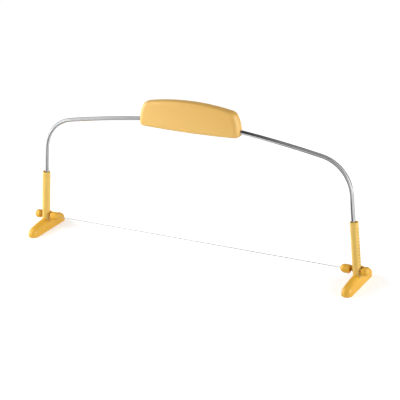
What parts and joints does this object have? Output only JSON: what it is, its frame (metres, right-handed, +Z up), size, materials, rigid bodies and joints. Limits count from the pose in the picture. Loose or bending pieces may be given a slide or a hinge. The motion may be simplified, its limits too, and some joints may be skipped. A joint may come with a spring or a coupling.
{
  "type": "cake leveler",
  "caption": "Bow-framed cake leveler: a sprung steel rod with a moulded grip, notched posts on loaf-shaped feet, and a taut cutting wire on sliding hooks.",
  "frame": {"origin": "on the table under the bow, midway between the two feet", "axes": "+X along the cutting wire towards the right foot, +Y from the front to the back (the way the tool is pushed), +Z up"},
  "size_m": [0.3616, 0.0584, 0.155],
  "materials": {
    "grip_plastic": "satin moulded, pale amber",
    "post_plastic": "satin moulded, pale amber",
    "foot_plastic": "satin moulded, deeper amber",
    "hook_plastic": "satin moulded, deeper amber",
    "rod_chrome": "bright plated, drawn round rod",
    "wire_steel": "bright drawn stainless wire and crimped ferrules",
    "screw_steel": "zinc plated"
  },
  "bodies": {
    "frame": {"bow_rod": "rod_chrome", "handle_front_shell": "grip_plastic", "handle_rear_shell": "grip_plastic", "handle_screw_right": "screw_steel", "handle_screw_left": "screw_steel", "notched_post_right": "post_plastic", "notched_post_left": "post_plastic", "foot_right": "foot_plastic", "foot_left": "foot_plastic"},
    "hook_right": {"wire_hook_right": "hook_plastic"},
    "hook_left": {"wire_hook_left": "hook_plastic"},
    "wire": {"cutting_wire": "wire_steel", "wire_ferrule_right": "wire_steel", "wire_ferrule_left": "wire_steel"}
  },
  "joints": [
    {"name": "right_hook_height", "type": "slide", "parent": "frame", "child": "hook_right", "axis": [-0.0785, 0, 0.9969], "range_m": [0, 0.04127]},
    {"name": "left_hook_height", "type": "slide", "parent": "frame", "child": "hook_left", "axis": [0.0785, 0, 0.9969], "range_m": [0, 0.04127]},
    {"name": "wire_height", "type": "slide", "parent": "frame", "child": "wire", "axis": [0, 0, 1], "range_m": [0, 0.04115]}
  ],
  "couplings": [
    {"joint": "left_hook_height", "follows": "right_hook_height", "ratio": 1},
    {"joint": "wire_height", "follows": "right_hook_height", "ratio": 0.99692}
  ]
}
